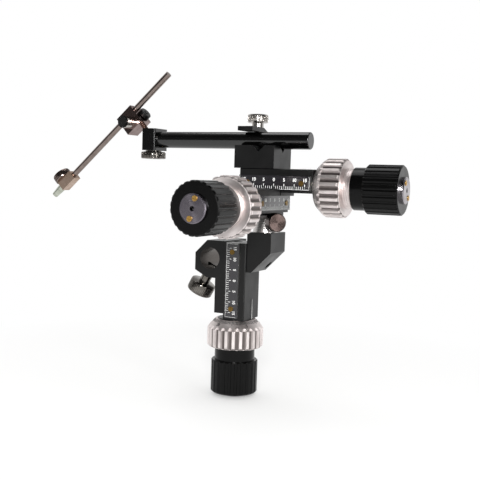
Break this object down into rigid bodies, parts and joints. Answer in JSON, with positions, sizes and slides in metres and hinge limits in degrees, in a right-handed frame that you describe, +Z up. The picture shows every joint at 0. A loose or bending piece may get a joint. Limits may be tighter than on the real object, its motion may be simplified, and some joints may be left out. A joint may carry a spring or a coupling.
{
  "type": "micromanipulator",
  "caption": "Three-axis micromanipulator with coarse and fine drives on each axis, a stand clamp, a swivel, an arm rod with a ball clamp and an angled electrode holder.",
  "frame": {"origin": "on the stand clamp bore's axis, level front to back with the Z drive's screw", "axes": "+X along the cross drive towards its knob, +Y towards the back along the bore, +Z up"},
  "size_m": [0.1898, 0.0886, 0.1539],
  "materials": {
    "black_anodised": "satin black anodised",
    "gloss_black": "gloss black",
    "black_plate": "black anodised with white marks",
    "brass": "turned",
    "satin_aluminium": "turned, satin",
    "bright_steel": "bright turned, nickel plated",
    "spring_steel": "dark spring steel",
    "turned_steel": "turned, warm tint"
  },
  "bodies": {
    "stand": {"stand_clamp": "black_anodised"},
    "stand_screw": {"stand_thumbscrew": "bright_steel"},
    "z_sleeve": {"z_sleeve": "satin_aluminium"},
    "z_knob": {"z_coarse_knob": "black_anodised", "z_lead_screw": "bright_steel", "z_knob_cap": "satin_aluminium", "z_cap_screws": "brass"},
    "z_slide": {"z_housing": "black_anodised", "z_flange": "black_anodised", "z_scale_plate": "black_plate", "z_scale_screws": "brass", "z_retaining_ring": "spring_steel", "bracket": "black_anodised", "bracket_screw": "spring_steel", "swivel_spigot": "bright_steel"},
    "z_ring": {"z_fine_ring": "satin_aluminium"},
    "swivel": {"swivel_socket": "satin_aluminium", "y_guide": "black_anodised"},
    "swivel_screw": {"swivel_lock_screw": "turned_steel"},
    "y_sleeve": {"y_sleeve": "satin_aluminium"},
    "y_knob": {"y_coarse_knob": "black_anodised", "y_lead_screw": "bright_steel", "y_knob_cap": "satin_aluminium", "y_cap_screws": "brass"},
    "y_slide": {"y_housing": "black_anodised", "y_flange": "black_anodised", "y_scale_plate": "black_plate", "y_scale_screws": "brass", "y_retaining_ring": "spring_steel", "x_guide": "black_anodised"},
    "y_ring": {"y_fine_ring": "satin_aluminium"},
    "x_sleeve": {"x_sleeve": "satin_aluminium"},
    "x_knob": {"x_coarse_knob": "black_anodised", "x_lead_screw": "bright_steel", "x_knob_cap": "satin_aluminium", "x_cap_screws": "brass"},
    "x_slide": {"x_housing": "black_anodised", "x_flange": "black_anodised", "x_scale_plate": "black_plate", "x_scale_screws": "brass", "x_retaining_ring": "spring_steel", "v_block": "black_anodised"},
    "x_ring": {"x_fine_ring": "satin_aluminium"},
    "jaw": {"clamp_jaw": "black_anodised"},
    "jaw_screw": {"jaw_thumbscrew": "bright_steel"},
    "arm": {"arm_rod": "gloss_black"},
    "end": {"end_block": "gloss_black", "ball_seat": "bright_steel"},
    "lock_disc": {"ball_lock_disc": "bright_steel"},
    "ball": {"ball_stud": "bright_steel"},
    "cross": {"cross_block": "black_anodised"},
    "rod_screw": {"rod_lock_screw": "bright_steel"},
    "pin_knob": {"pin_lock_knob": "black_anodised"},
    "holder": {"holder_rod": "bright_steel", "tip_block": "turned_steel", "tip_nose": "satin_aluminium"},
    "tip_knob": {"tip_screw": "bright_steel"}
  },
  "joints": [
    {"name": "z_coarse_slide", "type": "slide", "parent": "stand", "child": "z_sleeve", "axis": [0, 0, -1], "range_m": [0, 0.018]},
    {"name": "z_coarse_turn", "type": "hinge", "parent": "z_sleeve", "child": "z_knob", "pos_m": [0.011, 0, -0.02825], "axis": [0, 0, -1], "range_deg": [0, 1620]},
    {"name": "z_fine_slide", "type": "slide", "parent": "z_sleeve", "child": "z_slide", "axis": [0, 0, -1], "range_m": [-0.0023, 0.0001]},
    {"name": "z_fine_turn", "type": "hinge", "parent": "z_slide", "child": "z_ring", "pos_m": [0.011, 0, -0.02825], "axis": [0, 0, -1], "range_deg": [-828, 36]},
    {"name": "y_coarse_slide", "type": "slide", "parent": "swivel", "child": "y_sleeve", "axis": [0, -1, 0], "range_m": [-0.0165, 0]},
    {"name": "y_coarse_turn", "type": "hinge", "parent": "y_sleeve", "child": "y_knob", "pos_m": [0.026, -0.0319, 0.0257], "axis": [0, -1, 0], "range_deg": [-1485, 0]},
    {"name": "y_fine_slide", "type": "slide", "parent": "y_sleeve", "child": "y_slide", "axis": [0, -1, 0], "range_m": [-0.0018, 0.0032]},
    {"name": "y_fine_turn", "type": "hinge", "parent": "y_slide", "child": "y_ring", "pos_m": [0.026, -0.0319, 0.0257], "axis": [0, -1, 0], "range_deg": [-648, 1152]},
    {"name": "x_coarse_slide", "type": "slide", "parent": "y_slide", "child": "x_sleeve", "axis": [1, 0, 0], "range_m": [-0.0125, 0.003]},
    {"name": "x_coarse_turn", "type": "hinge", "parent": "x_sleeve", "child": "x_knob", "pos_m": [0.0495, 0.0035, 0.0347], "axis": [1, 0, 0], "range_deg": [-1125, 270]},
    {"name": "x_fine_slide", "type": "slide", "parent": "x_sleeve", "child": "x_slide", "axis": [1, 0, 0], "range_m": [-0.0015, 0.0035]},
    {"name": "x_fine_turn", "type": "hinge", "parent": "x_slide", "child": "x_ring", "pos_m": [0.0495, 0.0035, 0.0347], "axis": [1, 0, 0], "range_deg": [-540, 1260]},
    {"name": "stand_screw_turn", "type": "hinge", "parent": "stand", "child": "stand_screw", "pos_m": [0, 0, 0], "axis": [-0.4695, 0, -0.8829], "range_deg": [0, 180]},
    {"name": "swivel_turn", "type": "hinge", "parent": "z_slide", "child": "swivel", "pos_m": [0.025, 0, 0.018], "axis": [0, 0, 1], "range_deg": [-45, 45]},
    {"name": "swivel_screw_turn", "type": "hinge", "parent": "swivel", "child": "swivel_screw", "pos_m": [0.025, 0, 0.01855], "axis": [0.7218, -0.6921, 0], "range_deg": [0, 180]},
    {"name": "jaw_lift", "type": "slide", "parent": "x_slide", "child": "jaw", "axis": [0, 0, 1], "range_m": [0, 0.003]},
    {"name": "jaw_screw_turn", "type": "hinge", "parent": "jaw", "child": "jaw_screw", "pos_m": [0.014, 0.0116, 0.06], "axis": [0, 0, 1], "range_deg": [0, 2160]},
    {"name": "arm_slide", "type": "slide", "parent": "x_slide", "child": "arm", "axis": [1, 0, 0], "range_m": [-0.012, 0.03]},
    {"name": "end_turn", "type": "hinge", "parent": "arm", "child": "end", "pos_m": [-0.037, 0.0055, 0.0558], "axis": [1, 0, 0], "range_deg": [-40, 40]},
    {"name": "lock_disc_turn", "type": "hinge", "parent": "end", "child": "lock_disc", "pos_m": [-0.0404, 0.0055, 0.0559], "axis": [0, 0, -1], "range_deg": [0, 180]},
    {"name": "ball_tilt", "type": "hinge", "parent": "end", "child": "ball", "pos_m": [-0.0404, 0.0055, 0.0559], "axis": [0, 1, 0], "range_deg": [-12, 20]},
    {"name": "cross_turn", "type": "hinge", "parent": "ball", "child": "cross", "pos_m": [-0.0404, 0.0055, 0.0559], "axis": [-0.6669, 0, 0.7451], "range_deg": [-60, 60]},
    {"name": "rod_screw_turn", "type": "hinge", "parent": "cross", "child": "rod_screw", "pos_m": [-0.05093, 0.0055, 0.06392], "axis": [0, -1, 0], "range_deg": [0, 180]},
    {"name": "pin_knob_turn", "type": "hinge", "parent": "cross", "child": "pin_knob", "pos_m": [-0.04927, 0.0055, 0.06581], "axis": [0.7451, 0, 0.6669], "range_deg": [0, 180]},
    {"name": "holder_slide", "type": "slide", "parent": "cross", "child": "holder", "axis": [0.7451, 0, 0.6669], "range_m": [-0.02, 0.03]},
    {"name": "tip_screw_turn", "type": "hinge", "parent": "holder", "child": "tip_knob", "pos_m": [-0.09139, 0.002, 0.03305], "axis": [-0.6669, 0, 0.7451], "range_deg": [0, 180]}
  ],
  "couplings": [
    {"joint": "z_coarse_turn", "follows": "z_coarse_slide", "rad_per_m": 1570.8},
    {"joint": "z_fine_turn", "follows": "z_fine_slide", "rad_per_m": 6283.2},
    {"joint": "y_coarse_turn", "follows": "y_coarse_slide", "rad_per_m": 1570.8},
    {"joint": "y_fine_turn", "follows": "y_fine_slide", "rad_per_m": 6283.2},
    {"joint": "x_coarse_turn", "follows": "x_coarse_slide", "rad_per_m": 1570.8},
    {"joint": "x_fine_turn", "follows": "x_fine_slide", "rad_per_m": 6283.2},
    {"joint": "jaw_screw_turn", "follows": "jaw_lift", "rad_per_m": 12566}
  ]
}
